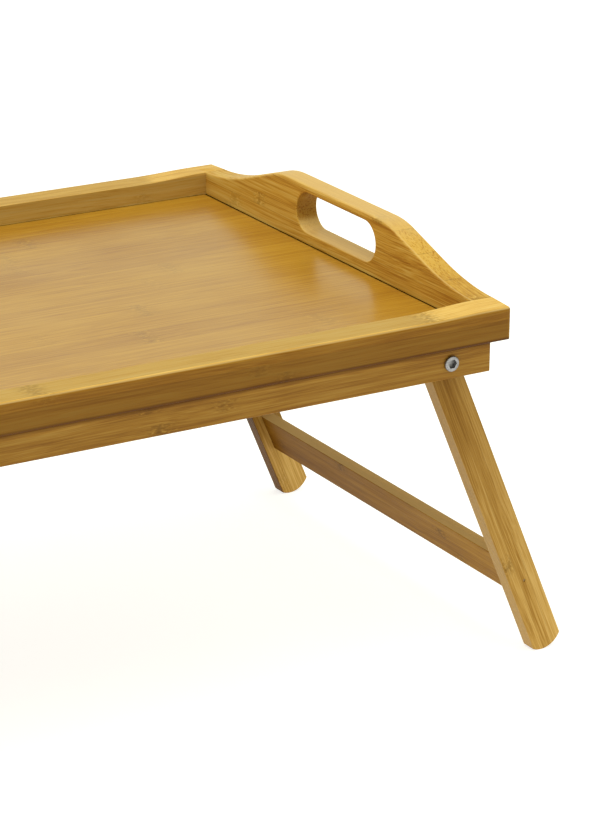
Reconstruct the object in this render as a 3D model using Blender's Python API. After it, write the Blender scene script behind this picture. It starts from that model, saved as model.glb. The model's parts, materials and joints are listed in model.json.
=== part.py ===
"""Folding tray table in laminated bamboo: a tray with two raised handle panels, on two leg frames
that fold flat under it. Metres, +Z up, origin on the floor under the middle of the tray.
X runs along the tray, and the front of the tray is towards -Y."""

import math

import bmesh
import bpy
from mathutils import Vector

MM = 0.001
GAP = 0.3 * MM  # between pieces that touch
OVERRUN = 1.0 * MM  # how far a cutter runs past the face it cuts

ENDS = ((-1, "left"), (1, "right"))
SIDES = ((-1, "front"), (1, "back"))

# Tray
TRAY_LENGTH = 501 * MM
TRAY_DEPTH = 300 * MM
RAIL_THICKNESS = 16.6 * MM
RAIL_HEIGHT = 16.0 * MM
PANEL_THICKNESS = 12.9 * MM
BOARD_SINK = 11.1 * MM  # rail top down to the top of the board
BOARD_STEP = 1.2 * MM  # the board's top edge is stepped down by this all round
BOARD_END_GAP = 0.9 * MM  # what shows beside the board at a handle panel
BOARD_SIDE_GAP = 0.4 * MM  # and at a rail
REBATE_DEPTH = 3.2 * MM

# The ends of a rail rise to meet the handle panel
INNER_RISE = 1.65 * MM
OUTER_RISE = 0.8 * MM
RISE_START_X = 200 * MM

# Handle panel: a level crest, a round shoulder, a straight slope and a hollow sweep down to the rail
CREST_HEIGHT = 21.2 * MM  # above the rail top
CREST_HALF = 45 * MM
SHOULDER_RADIUS = 55 * MM
SWEEP_RADIUS = 155 * MM
SLOPE = math.radians(17.9)
SLOPE_LENGTH = 30.4 * MM
SLOT_LENGTH = 78.6 * MM
SLOT_HEIGHT = 21.8 * MM
SLOT_CENTRE_Y = -4.8 * MM
SLOT_CENTRE_Z = 5.9 * MM  # above the rail top

# Aprons
APRON_INSET = 7.7 * MM  # from the rail's outer face
APRON_THICKNESS = 8.3 * MM
APRON_HEIGHT = 17.7 * MM
APRON_END_INSET = 6.6 * MM

# Leg frames
PIVOT_FROM_END = 30 * MM
PIVOT_DROP = 9.6 * MM  # pivot axis below the tray's underside
SPLAY = math.radians(23.0)
LEG_WIDTH = 17.6 * MM
LEG_THICKNESS = 9.7 * MM
LEG_OUTER_Y = 133.0 * MM
FOOT_RADIUS = 12.5 * MM
FOOT_CENTRE = 174.4 * MM  # pivot axis to the centre of the foot's arc
STOP_GAP = 0.2 * MM  # the leg's shoulder to the tray's underside
BAR_CENTRE = 142.5 * MM  # pivot axis to the middle of the crossbar
BAR_HEIGHT = 23.2 * MM
BAR_THICKNESS = 6.3 * MM
TENON_LENGTH = 5.0 * MM
TENON_HEIGHT = 18.8 * MM
TENON_THICKNESS = 3.8 * MM

# Hardware
BARREL_RADIUS = 3.0 * MM
BARREL_HEAD_RADIUS = 4.0 * MM
BARREL_HEAD_HEIGHT = 1.4 * MM
HEAD_CHAMFER = 0.5 * MM
SOCKET_RADIUS = 2.3 * MM  # corner radius of the hexagon socket
SOCKET_DEPTH = 1.8 * MM
PIVOT_SCREW_RADIUS = 1.7 * MM
PIVOT_SCREW_LENGTH = 12 * MM
PIVOT_SCREW_HEAD_RADIUS = 4.5 * MM
PIVOT_SCREW_HEAD_HEIGHT = 1.4 * MM
WASHER_RADIUS = 6.0 * MM
WASHER_THICKNESS = 0.6 * MM
DOWEL_RADIUS = 2.0 * MM
DOWEL_CHAMFER = 0.6 * MM
DOWEL_IN_RAIL = 9.0 * MM
DOWEL_IN_PANEL = 13.0 * MM
DOWEL_FROM_OUTER_FACE = 4.6 * MM
DOWEL_DEPTHS = (4.2 * MM, 11.0 * MM)  # below the rail top
APRON_SCREW_RADIUS = 1.5 * MM
APRON_SCREW_HEAD_RADIUS = 2.8 * MM
APRON_SCREW_HEAD_HEIGHT = 1.8 * MM
APRON_SCREW_LENGTH = 27 * MM
APRON_SCREW_POINT = 4 * MM
APRON_SCREW_SHIFT = 0.8 * MM  # outwards from the middle of the apron
APRON_SCREW_PLACES = (-165 * MM, 0.0, 165 * MM)
BRAD_RADIUS = 0.8 * MM
BRAD_IN_TENON = 3.5 * MM
BRAD_POINT = 1.0 * MM
TIP_RADIUS = 0.3 * MM  # of a screw or brad

# Worked out
HALF_LENGTH = TRAY_LENGTH / 2
HALF_DEPTH = TRAY_DEPTH / 2
RAIL_INNER_Y = HALF_DEPTH - RAIL_THICKNESS
PANEL_INNER_X = HALF_LENGTH - PANEL_THICKNESS
PIVOT_X = HALF_LENGTH - PIVOT_FROM_END
PIVOT_Z = FOOT_CENTRE * math.cos(SPLAY) + FOOT_RADIUS
UNDERSIDE = PIVOT_Z + PIVOT_DROP
RAIL_TOP = UNDERSIDE + RAIL_HEIGHT
BOARD_TOP = RAIL_TOP - BOARD_SINK
REBATE_TOP = BOARD_TOP + GAP
APRON_OUTER_Y = HALF_DEPTH - APRON_INSET
APRON_INNER_Y = APRON_OUTER_Y - APRON_THICKNESS
APRON_TOP = UNDERSIDE - GAP
APRON_BOTTOM = UNDERSIDE - APRON_HEIGHT
APRON_SCREW_Y = (APRON_OUTER_Y + APRON_INNER_Y) / 2 + APRON_SCREW_SHIFT
LEG_INNER_Y = LEG_OUTER_Y - LEG_THICKNESS
MORTISE_DEPTH = TENON_LENGTH + GAP
PIVOT_STACK = APRON_OUTER_Y - LEG_INNER_Y  # outside of the apron to inside of the leg

# Rounded edges
TOP_ARRIS = 1.8 * MM
CORNER_ARRIS = 2.0 * MM
PANEL_ARRIS = 1.6 * MM
SLOT_ARRIS = 1.0 * MM
BAR_ARRIS = 0.5 * MM
LEG_ARRIS = 0.6 * MM

BAMBOO = (0.56, 0.31, 0.09)
PALE_BAMBOO = (0.64, 0.40, 0.15)
STEEL = (0.62, 0.62, 0.63)
NYLON = (0.80, 0.79, 0.76)


def clear_scene():
    for existing in list(bpy.data.objects):
        bpy.data.objects.remove(existing, do_unlink=True)


def material(name, colour, roughness, metallic=0.0):
    """A Principled material of its own."""
    made = bpy.data.materials.new(name)
    made.use_nodes = True
    shader = made.node_tree.nodes["Principled BSDF"]
    shader.inputs["Base Color"].default_value = (*colour, 1.0)
    shader.inputs["Roughness"].default_value = roughness
    shader.inputs["Metallic"].default_value = metallic
    return made


def bamboo(name, colour=BAMBOO):
    return material(name, colour, 0.42)


def steel(name):
    return material(name, STEEL, 0.28, 1.0)


def facing(side):
    """The turn that takes a shape made for side -1 to its place on side 1, or leaves it where it is."""
    return 0.0 if side < 0 else math.pi


def add_object(name, bm, finish, parent=None, location=(0, 0, 0), turn=0.0):
    """A mesh object from bm, with its faces out."""
    mesh = bpy.data.meshes.new(name)
    bmesh.ops.recalc_face_normals(bm, faces=bm.faces)
    bm.to_mesh(mesh)
    bm.free()
    mesh.shade_smooth()
    mesh.set_sharp_from_angle(angle=math.radians(35))
    made = bpy.data.objects.new(name, mesh)
    bpy.context.scene.collection.objects.link(made)
    made.parent = parent
    made.location = location
    made.rotation_euler = (0, 0, turn)
    if finish:
        mesh.materials.append(finish)
    return made


def add_empty(name, location, rotation):
    made = bpy.data.objects.new(name, None)
    made.location = location
    made.rotation_euler = rotation
    bpy.context.scene.collection.objects.link(made)
    return made


def arc(centre, radius, start, end, steps):
    """Points on a circle from one angle to another, both ends included."""
    for i in range(steps + 1):
        angle = start + (end - start) * i / steps
        yield centre[0] + radius * math.cos(angle), centre[1] + radius * math.sin(angle)


def ring_mesh(rings):
    """Quads from each ring of points to the next, and a cap on the first and the last."""
    bm = bmesh.new()
    made = [[bm.verts.new(point) for point in ring] for ring in rings]
    for first, second in zip(made, made[1:]):
        for i in range(len(first)):
            bm.faces.new((first[i - 1], first[i], second[i], second[i - 1]))
    bm.faces.new(made[0])
    bm.faces.new(made[-1])
    return bm


def box_mesh(low, high):
    (x0, y0, z0), (x1, y1, z1) = low, high
    corners = ((x0, y0), (x1, y0), (x1, y1), (x0, y1))
    return ring_mesh([[(x, y, z) for x, y in corners] for z in (z0, z1)])


def turned_mesh(stations, axis="y", sides=24):
    """A turned solid on an axis through the origin, from (place along the axis, radius) pairs."""
    order = {"x": (2, 0, 1), "y": (1, 2, 0), "z": (0, 1, 2)}[axis]
    rings = []
    for along, radius in stations:
        angles = (2 * math.pi * i / sides for i in range(sides))
        points = ((radius * math.cos(a), radius * math.sin(a), along) for a in angles)
        rings.append([tuple(point[i] for i in order) for point in points])
    return ring_mesh(rings)


def cut(target, name, bm, location=(0, 0, 0), turn=0.0):
    """Takes the shape bm out of the target. Its place is given in the frame of the target's parent."""
    cutter = add_object(name + ".cutter", bm, None, target.parent, location, turn)
    cutter.hide_render = True
    cutter.display_type = "WIRE"
    modifier = target.modifiers.new(name, "BOOLEAN")
    modifier.operation = "DIFFERENCE"
    modifier.solver = "EXACT"
    modifier.object = cutter


def soften(target, width, weigh=None, segments=2):
    """Rounds each edge by width times weigh(midpoint, direction), or every edge sharper than 60 degrees."""
    modifier = target.modifiers.new("rounding", "BEVEL")
    modifier.width = width
    modifier.segments = segments
    if not weigh:
        modifier.limit_method = "ANGLE"
        modifier.angle_limit = math.radians(60)
        return
    modifier.limit_method = "WEIGHT"
    mesh = target.data
    weight = mesh.attributes.new("bevel_weight_edge", "FLOAT", "EDGE")
    for edge in mesh.edges:
        first, second = (mesh.vertices[i].co for i in edge.vertices)
        weight.data[edge.index].value = float(weigh((first + second) / 2, second - first))


# ---------------------------------------------------------------- the tray


def rise(x, share):
    """How far a rail's top stands above its middle at x, from its inner edge, share 0, to its outer, 1."""
    along = min(max((abs(x) - RISE_START_X) / (PANEL_INNER_X - RISE_START_X), 0.0), 1.0)
    full = INNER_RISE + (OUTER_RISE - INNER_RISE) * share
    return full * along * along * (3 - 2 * along)


def build_rail(name, side):
    """A long side of the tray. side is -1 at the front and +1 at the back."""
    steps = 4
    reach = PANEL_INNER_X - RISE_START_X
    half = [RISE_START_X + reach * i / steps for i in range(steps + 1)] + [HALF_LENGTH]
    inner, outer = side * RAIL_INNER_Y, side * HALF_DEPTH
    rings = []
    for x in [-x for x in reversed(half)] + half:
        tops = [(x, inner, RAIL_TOP + rise(x, 0)), (x, outer, RAIL_TOP + rise(x, 1))]
        rings.append([(x, inner, UNDERSIDE), *tops, (x, outer, UNDERSIDE)])
    rail = add_object(name, ring_mesh(rings), bamboo(name))

    def weigh(point, along):
        at_end = abs(point.x) > HALF_LENGTH - GAP
        at_top = point.z > RAIL_TOP - GAP
        outside = abs(point.y) > HALF_DEPTH - GAP
        level = abs(along.z) < RAIL_HEIGHT / 2
        across = abs(along.y) > RAIL_THICKNESS / 2
        if outside and at_end and not level:
            return 1.0
        if outside and at_top:
            return TOP_ARRIS / CORNER_ARRIS
        if at_end and at_top and across:
            return PANEL_ARRIS / CORNER_ARRIS
        lengthways = not across and level
        if lengthways and at_top:
            return BAR_ARRIS / CORNER_ARRIS * (abs(point.x) < PANEL_INNER_X)
        return BAR_ARRIS / CORNER_ARRIS * (at_end or lengthways)

    soften(rail, CORNER_ARRIS, weigh, 4)
    reach = PANEL_INNER_X + REBATE_DEPTH
    near, far = sorted((side * (RAIL_INNER_Y - OVERRUN), side * (RAIL_INNER_Y + REBATE_DEPTH)))
    cut(rail, name + "_rebate", box_mesh((-reach, near, UNDERSIDE - OVERRUN), (reach, far, REBATE_TOP)))
    for end in (-1, 1):
        for depth in DOWEL_DEPTHS:
            place = (end * (HALF_LENGTH - DOWEL_FROM_OUTER_FACE), side * RAIL_INNER_Y, RAIL_TOP - depth)
            hole = turned_mesh([(-DOWEL_IN_RAIL - GAP, DOWEL_RADIUS + GAP), (OVERRUN, DOWEL_RADIUS + GAP)])
            cut(rail, name + "_dowel_hole", hole, place, facing(side))
    for x in APRON_SCREW_PLACES:
        depth = APRON_SCREW_LENGTH - APRON_HEIGHT + 2 * GAP
        radius = APRON_SCREW_RADIUS + GAP
        hole = turned_mesh([(-OVERRUN, radius), (depth, radius)], "z", 16)
        cut(rail, name + "_screw_hole", hole, (x, side * APRON_SCREW_Y, UNDERSIDE))


def panel_outline():
    """(y, z) round a handle panel, from the rail at the front, over the crest, to the rail at the back."""
    half = []
    slope_start = CREST_HALF + SHOULDER_RADIUS * math.sin(SLOPE)
    half.extend(
        arc((CREST_HALF, RAIL_TOP + CREST_HEIGHT - SHOULDER_RADIUS), SHOULDER_RADIUS,
            math.pi / 2, math.pi / 2 - SLOPE, 5)
    )
    foot_y = slope_start + SLOPE_LENGTH * math.cos(SLOPE)
    foot_z = half[-1][1] - SLOPE_LENGTH * math.sin(SLOPE)
    centre = (foot_y + SWEEP_RADIUS * math.sin(SLOPE), foot_z + SWEEP_RADIUS * math.cos(SLOPE))
    end_y = RAIL_INNER_Y - GAP
    end_angle = math.acos((end_y - centre[0]) / SWEEP_RADIUS)
    half.extend(arc(centre, SWEEP_RADIUS, -math.pi / 2 - SLOPE, -end_angle, 6))
    half.append((end_y, UNDERSIDE))
    return [(-y, z) for y, z in reversed(half)] + half


def slot_mesh():
    """The hand slot, running through the panel, with its mouth rounded on both faces."""
    half_depth = PANEL_THICKNESS / 2
    stations = [(half_depth + OVERRUN, SLOT_ARRIS)]
    for i in range(4):
        angle = math.pi / 2 * (3 - i) / 3
        growth = SLOT_ARRIS * (1 - math.cos(angle))
        stations.append((half_depth - SLOT_ARRIS * (1 - math.sin(angle)), growth))
    stations += [(-x, growth) for x, growth in reversed(stations)]
    rings = []
    for x, growth in stations:
        radius = SLOT_HEIGHT / 2
        reach = SLOT_LENGTH / 2 - radius
        ring = list(arc((reach, 0), radius + growth, -math.pi / 2, math.pi / 2, 10))
        ring += arc((-reach, 0), radius + growth, math.pi / 2, 3 * math.pi / 2, 10)
        rings.append([(x, y, z) for y, z in ring])
    return ring_mesh(rings)


def build_handle_panel(name, end):
    """A short side of the tray. end is -1 at the left and +1 at the right."""
    low, high = sorted((end * PANEL_INNER_X, end * HALF_LENGTH))
    middle = (low + high) / 2
    rings = [[(x - middle, y, z) for y, z in panel_outline()] for x in (low, high)]
    panel = add_object(name, ring_mesh(rings), bamboo(name), location=(middle, 0, 0))

    def along_the_top(point, along):
        return abs(along.z) < abs(along.y) and point.z > RAIL_TOP

    soften(panel, PANEL_ARRIS, along_the_top, 3)
    slot_place = (middle, SLOT_CENTRE_Y, RAIL_TOP + SLOT_CENTRE_Z)
    cut(panel, name + "_slot", slot_mesh(), slot_place)
    near, far = sorted((end * (PANEL_INNER_X - OVERRUN), end * (PANEL_INNER_X + REBATE_DEPTH)))
    rebate = box_mesh((near, -HALF_DEPTH, UNDERSIDE - OVERRUN), (far, HALF_DEPTH, REBATE_TOP))
    cut(panel, name + "_rebate", rebate)
    for side in (-1, 1):
        for depth in DOWEL_DEPTHS:
            place = (end * (HALF_LENGTH - DOWEL_FROM_OUTER_FACE), side * RAIL_INNER_Y, RAIL_TOP - depth)
            hole = turned_mesh([(-OVERRUN, DOWEL_RADIUS + GAP), (DOWEL_IN_PANEL + GAP, DOWEL_RADIUS + GAP)])
            cut(panel, name + "_dowel_hole", hole, place, facing(side))


def build_tray_board():
    """The floor of the tray: a board whose edges step down to a tongue that lies in the rebates."""
    tongue = (PANEL_INNER_X + REBATE_DEPTH - GAP, RAIL_INNER_Y + REBATE_DEPTH - GAP)
    top = (PANEL_INNER_X - BOARD_END_GAP, RAIL_INNER_Y - BOARD_SIDE_GAP)
    step = BOARD_TOP - BOARD_STEP
    rings = []
    for z, (x, y) in ((UNDERSIDE, tongue), (step, tongue), (step, top), (BOARD_TOP, top)):
        rings.append([(-x, -y, z), (x, -y, z), (x, y, z), (-x, y, z)])
    add_object("tray_board", ring_mesh(rings), bamboo("tray_board", PALE_BAMBOO))


def build_corner_dowels():
    for end, end_name in ENDS:
        for side, side_name in SIDES:
            for number, depth in enumerate(DOWEL_DEPTHS, 1):
                place = (end * (HALF_LENGTH - DOWEL_FROM_OUTER_FACE), side * RAIL_INNER_Y, RAIL_TOP - depth)
                stations = (
                    (-DOWEL_IN_RAIL, DOWEL_RADIUS - DOWEL_CHAMFER),
                    (-DOWEL_IN_RAIL + DOWEL_CHAMFER, DOWEL_RADIUS),
                    (DOWEL_IN_PANEL - DOWEL_CHAMFER, DOWEL_RADIUS),
                    (DOWEL_IN_PANEL, DOWEL_RADIUS - DOWEL_CHAMFER),
                )
                name = f"corner_dowel_{end_name}_{side_name}_{number}"
                add_object(name, turned_mesh(stations), bamboo(name), None, place, facing(side))


# ---------------------------------------------------------------- the aprons


def build_apron(name, side):
    size = Vector((TRAY_LENGTH - 2 * APRON_END_INSET, APRON_THICKNESS, APRON_TOP - APRON_BOTTOM)) / 2
    middle = Vector((0, side * (APRON_INNER_Y + size.y), APRON_BOTTOM + size.z))
    apron = add_object(name, box_mesh(-size, size), bamboo(name), location=middle)
    soften(apron, BAR_ARRIS)
    for end in (-1, 1):
        radius = BARREL_RADIUS + GAP
        hole = turned_mesh([(-OVERRUN, radius), (APRON_THICKNESS + OVERRUN, radius)])
        place = (end * PIVOT_X, side * APRON_OUTER_Y, PIVOT_Z)
        cut(apron, name + "_pivot_hole", hole, place, facing(side))
    for x in APRON_SCREW_PLACES:
        stations = (
            (-OVERRUN, APRON_SCREW_HEAD_RADIUS + GAP),
            (GAP, APRON_SCREW_HEAD_RADIUS + GAP),
            (GAP + APRON_SCREW_HEAD_HEIGHT, APRON_SCREW_RADIUS + GAP),
            (APRON_HEIGHT + OVERRUN, APRON_SCREW_RADIUS + GAP),
        )
        place = (x, side * APRON_SCREW_Y, APRON_BOTTOM)
        cut(apron, name + "_screw_hole", turned_mesh(stations, "z", 16), place)


def build_apron_screws():
    stations = (
        (0.0, APRON_SCREW_HEAD_RADIUS),
        (APRON_SCREW_HEAD_HEIGHT, APRON_SCREW_RADIUS),
        (APRON_SCREW_LENGTH - APRON_SCREW_POINT, APRON_SCREW_RADIUS),
        (APRON_SCREW_LENGTH, TIP_RADIUS),
    )
    for side, side_name in SIDES:
        for number, x in enumerate(APRON_SCREW_PLACES, 1):
            name = f"{side_name}_apron_screw_{number}"
            place = (x, side * APRON_SCREW_Y, APRON_BOTTOM + GAP)
            add_object(name, turned_mesh(stations, "z", 16), steel(name), None, place)


# ---------------------------------------------------------------- the pivots


def build_pivot(name, end, side):
    """A barrel nut through apron, washer and leg, and the screw that closes it inside the leg.
    Distances run inwards from the outside of the apron."""
    place = (end * PIVOT_X, side * APRON_OUTER_Y, PIVOT_Z)
    turn = facing(side)
    bore = PIVOT_SCREW_RADIUS + GAP
    head_top = -GAP / 2 - BARREL_HEAD_HEIGHT
    tube_end = PIVOT_STACK - HEAD_CHAMFER
    stations = (
        (head_top, BARREL_HEAD_RADIUS - HEAD_CHAMFER),
        (head_top + HEAD_CHAMFER, BARREL_HEAD_RADIUS),
        (-GAP / 2, BARREL_HEAD_RADIUS),
        (-GAP / 2, BARREL_RADIUS),
        (tube_end, BARREL_RADIUS),
        (tube_end, bore),
        (PIVOT_STACK - PIVOT_SCREW_LENGTH - OVERRUN, bore),
    )
    barrel = add_object(name + "_barrel", turned_mesh(stations), steel(name + "_barrel"), None, place, turn)
    stations = ((head_top - OVERRUN, SOCKET_RADIUS), (head_top + SOCKET_DEPTH, SOCKET_RADIUS))
    socket = turned_mesh(stations, sides=6)
    cut(barrel, name + "_socket", socket, place, turn)

    head_start = PIVOT_STACK + GAP / 2
    head_end = head_start + PIVOT_SCREW_HEAD_HEIGHT
    stations = (
        (head_start - PIVOT_SCREW_LENGTH, PIVOT_SCREW_RADIUS),
        (head_start, PIVOT_SCREW_RADIUS),
        (head_start, PIVOT_SCREW_HEAD_RADIUS),
        (head_start + PIVOT_SCREW_HEAD_HEIGHT / 2, PIVOT_SCREW_HEAD_RADIUS),
        (head_end, PIVOT_SCREW_HEAD_RADIUS - 2 * HEAD_CHAMFER),
    )
    add_object(name + "_screw", turned_mesh(stations), steel(name + "_screw"), None, place, turn)

    room = APRON_INNER_Y - LEG_OUTER_Y
    start = APRON_THICKNESS + (room - WASHER_THICKNESS) / 2
    end_face = start + WASHER_THICKNESS
    disc = turned_mesh([(start, WASHER_RADIUS), (end_face, WASHER_RADIUS)])
    nylon = material(name + "_washer", NYLON, 0.5)
    washer = add_object(name + "_washer", disc, nylon, None, place, turn)
    hole = turned_mesh([(start - OVERRUN, BARREL_RADIUS + GAP), (end_face + OVERRUN, BARREL_RADIUS + GAP)])
    cut(washer, name + "_washer_hole", hole, place, turn)


# ---------------------------------------------------------------- the leg frames


def leg_outline():
    """(x, z) round a leg, from its pivot axis, with the foot at -Z and the tray's end towards +X.
    The flat shoulder at the top is level when the leg is splayed, and stops it under the tray."""
    half = LEG_WIDTH / 2
    reach = PIVOT_DROP - STOP_GAP
    shoulder = (half, (reach - half * math.sin(SPLAY)) / math.cos(SPLAY))
    top = arc((0, 0), reach, math.pi / 2 - SPLAY, math.pi - math.acos(half / reach), 8)
    corner = math.acos(half / FOOT_RADIUS)
    foot = arc((0, -FOOT_CENTRE), FOOT_RADIUS, math.pi + corner, 2 * math.pi - corner, 12)
    return [shoulder, *top, *foot]


def build_leg(name, side, pivot):
    """A leg on its frame's pivot empty. side is its side of that empty."""
    inner, outer = side * LEG_INNER_Y, side * LEG_OUTER_Y
    rings = [[(x, y, z) for x, z in leg_outline()] for y in (inner, outer)]
    leg = add_object(name, ring_mesh(rings), bamboo(name, PALE_BAMBOO), pivot)
    soften(leg, LEG_ARRIS)
    radius = BARREL_RADIUS + GAP
    hole = turned_mesh([(-OVERRUN, radius), (LEG_THICKNESS + OVERRUN, radius)])
    cut(leg, name + "_pivot_hole", hole, (0, outer, 0), facing(side))
    half_thickness, half_height = TENON_THICKNESS / 2 + GAP, TENON_HEIGHT / 2 + GAP
    near, far = sorted((inner - side * OVERRUN, inner + side * MORTISE_DEPTH))
    mortise = box_mesh((-half_thickness, near, -half_height), (half_thickness, far, half_height))
    cut(leg, name + "_mortise", mortise, (0, 0, -BAR_CENTRE))
    to_mortise = LEG_THICKNESS - TENON_LENGTH
    hole = turned_mesh([(-OVERRUN, BRAD_RADIUS + GAP), (to_mortise, BRAD_RADIUS + GAP)], sides=12)
    cut(leg, name + "_brad_hole", hole, (0, outer, -BAR_CENTRE), facing(side))


def build_crossbar(name, pivot):
    """The bar between two legs, with a tenon on each end."""
    shoulder = LEG_INNER_Y - GAP
    end = LEG_INNER_Y + TENON_LENGTH
    bar = (BAR_THICKNESS / 2, BAR_HEIGHT / 2)
    tenon = (TENON_THICKNESS / 2, TENON_HEIGHT / 2)
    half = ((shoulder, bar), (shoulder, tenon), (end, tenon))
    rings = []
    for y, (x, z) in [(-y, section) for y, section in reversed(half)] + list(half):
        rings.append([(-x, y, -z), (x, y, -z), (x, y, z), (-x, y, z)])
    crossbar = add_object(name, ring_mesh(rings), bamboo(name), pivot, (0, 0, -BAR_CENTRE))
    soften(crossbar, BAR_ARRIS, lambda point, along: abs(along.y) > shoulder)
    for side in (-1, 1):
        to_tenon = LEG_OUTER_Y - end
        radius = BRAD_RADIUS + GAP
        stations = ((to_tenon - OVERRUN, radius), (to_tenon + BRAD_IN_TENON + GAP, radius))
        place = (0, side * LEG_OUTER_Y, -BAR_CENTRE)
        cut(crossbar, name + "_brad_hole", turned_mesh(stations, sides=12), place, facing(side))


def build_brad(name, side, pivot):
    """The brad that pins a tenon, sunk a little below the face of the leg."""
    tip = LEG_THICKNESS - TENON_LENGTH + BRAD_IN_TENON
    stations = (GAP, BRAD_RADIUS), (tip - BRAD_POINT, BRAD_RADIUS), (tip, TIP_RADIUS)
    place = (0, side * LEG_OUTER_Y, -BAR_CENTRE)
    add_object(name, turned_mesh(stations, sides=12), steel(name), pivot, place, facing(side))


def build_leg_frame(end_name, end):
    """Two legs and their crossbar, splayed towards their end of the tray."""
    pivot = add_empty(end_name + "_leg_pivot", (end * PIVOT_X, 0, PIVOT_Z), (0, -SPLAY, facing(-end)))
    build_crossbar(end_name + "_crossbar", pivot)
    for side in (-1, 1):
        side_name = "front" if side * end < 0 else "back"
        build_leg(f"{end_name}_{side_name}_leg", side, pivot)
        build_brad(f"{end_name}_{side_name}_brad", side, pivot)


def build():
    clear_scene()
    for side, side_name in SIDES:
        build_rail(side_name + "_rail", side)
        build_apron(side_name + "_apron", side)
    for end, end_name in ENDS:
        build_handle_panel("handle_panel_" + end_name, end)
        build_leg_frame(end_name, end)
        for side, side_name in SIDES:
            build_pivot(f"{end_name}_{side_name}_pivot", end, side)
    build_tray_board()
    build_corner_dowels()
    build_apron_screws()


build()
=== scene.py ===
"""Looks of the folding tray table: laminated bamboo under a satin lacquer, with plated steel fittings.
Metres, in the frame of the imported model. Grain patterns are laid out in millimetres."""

import json
import math

import bmesh
import bpy
from mathutils import Matrix, Vector


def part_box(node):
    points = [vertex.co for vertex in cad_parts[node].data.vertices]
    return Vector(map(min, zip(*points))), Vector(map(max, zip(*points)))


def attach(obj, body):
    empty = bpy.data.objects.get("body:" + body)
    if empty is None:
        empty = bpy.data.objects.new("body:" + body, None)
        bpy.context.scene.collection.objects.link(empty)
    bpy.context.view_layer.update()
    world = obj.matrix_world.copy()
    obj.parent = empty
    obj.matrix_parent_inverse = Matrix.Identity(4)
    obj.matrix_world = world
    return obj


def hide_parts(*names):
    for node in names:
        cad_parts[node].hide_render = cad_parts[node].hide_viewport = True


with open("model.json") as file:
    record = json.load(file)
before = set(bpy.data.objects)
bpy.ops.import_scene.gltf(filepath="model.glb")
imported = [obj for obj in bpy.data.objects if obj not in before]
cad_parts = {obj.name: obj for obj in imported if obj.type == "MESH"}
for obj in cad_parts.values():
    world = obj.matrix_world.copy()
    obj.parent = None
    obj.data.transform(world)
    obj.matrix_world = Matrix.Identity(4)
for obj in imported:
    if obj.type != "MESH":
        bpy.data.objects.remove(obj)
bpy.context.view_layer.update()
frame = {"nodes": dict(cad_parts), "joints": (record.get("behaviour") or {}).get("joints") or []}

MM = 0.001
SEAM = 0.05 * MM  # what a glued or sliding joint leaves open
OVERRUN = 1.0 * MM  # how far a cutter runs past the face it cuts
TURN_OF_32 = (0.0, 2 * math.pi * 31 / 32, 31)  # a full circle in 32 parts, for arc
SHARP = math.radians(32)

# The ends of a rail rise to meet the handle panel
RAIL_HEIGHT = 16.0 * MM
INNER_RISE = 1.65 * MM
OUTER_RISE = 0.8 * MM
RISE_START_X = 200 * MM

# Handle panel: a level crest, a round shoulder, a straight slope and a hollow sweep down to the rail
CREST_HALF = 45 * MM
SHOULDER_RADIUS = 55 * MM
SWEEP_RADIUS = 155 * MM
SLOPE = math.radians(17.9)
SLOPE_LENGTH = 30.4 * MM
SLOT_LENGTH = 78.6 * MM
SLOT_HEIGHT = 21.8 * MM
SLOT_CENTRE_Y = -4.8 * MM
SLOT_CENTRE_Z = 5.9 * MM  # above the rail top

# Joinery
BOARD_STEP = 1.2 * MM  # the board's top edge is stepped down by this all round
BOARD_END_GAP = 0.9 * MM  # what shows beside the board at a handle panel
BOARD_SIDE_GAP = 0.4 * MM  # and at a rail
TENON_LENGTH = 5.0 * MM
TENON_HEIGHT = 18.8 * MM
TENON_THICKNESS = 3.8 * MM
FOOT_RADIUS = 12.5 * MM

# Rounded edges
TOP_ARRIS = 1.8 * MM
CORNER_ARRIS = 2.0 * MM
LOWER_ARRIS = 1.2 * MM
PANEL_ARRIS = 1.6 * MM
SLOT_ARRIS = 1.0 * MM
BAR_ARRIS = 0.5 * MM
LEG_ARRIS = 0.6 * MM
BOARD_ARRIS = 0.25 * MM

# Fittings
BARREL_RADIUS = 3.0 * MM
BARREL_HEAD_RADIUS = 4.0 * MM
BARREL_HEAD_HEIGHT = 1.4 * MM
SOCKET_RADIUS = 2.5 * MM
SOCKET_DEPTH = 2.4 * MM
PIVOT_SCREW_RADIUS = 1.7 * MM
PIVOT_SCREW_LENGTH = 12 * MM
PIVOT_SCREW_HEAD_RADIUS = 4.5 * MM
PIVOT_SCREW_HEAD_HEIGHT = 1.4 * MM
WASHER_RADIUS = 6.0 * MM
APRON_SCREW_RADIUS = 1.5 * MM
APRON_SCREW_HEAD_RADIUS = 2.8 * MM
APRON_SCREW_HEAD_HEIGHT = 1.8 * MM
BRAD_RADIUS = 0.8 * MM
THREAD_PITCH = 1.0 * MM
THREAD_DEPTH = 0.25 * MM

# Places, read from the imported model
rail_low, rail_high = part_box("back_rail")
board_low, board_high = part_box("tray_board")
panel_low, panel_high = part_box("handle_panel_right")
HALF_LENGTH = rail_high.x
HALF_DEPTH = rail_high.y
RAIL_INNER_Y = rail_low.y
PANEL_INNER_X = panel_low.x
UNDERSIDE = rail_low.z
RAIL_TOP = UNDERSIDE + RAIL_HEIGHT
CREST_TOP = panel_high.z
BOARD_TOP = board_high.z
TONGUE_X, TONGUE_Y = board_high.x, board_high.y
ENDS = {"left": -1, "right": 1}
SIDES = {"front": -1, "back": 1}


# ---------------------------------------------------------------- shapes


def arc(centre, radius, start, end, steps):
    """Points on a circle from one angle to another, both ends included."""
    for i in range(steps + 1):
        angle = start + (end - start) * i / steps
        yield centre[0] + radius * math.cos(angle), centre[1] + radius * math.sin(angle)


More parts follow.
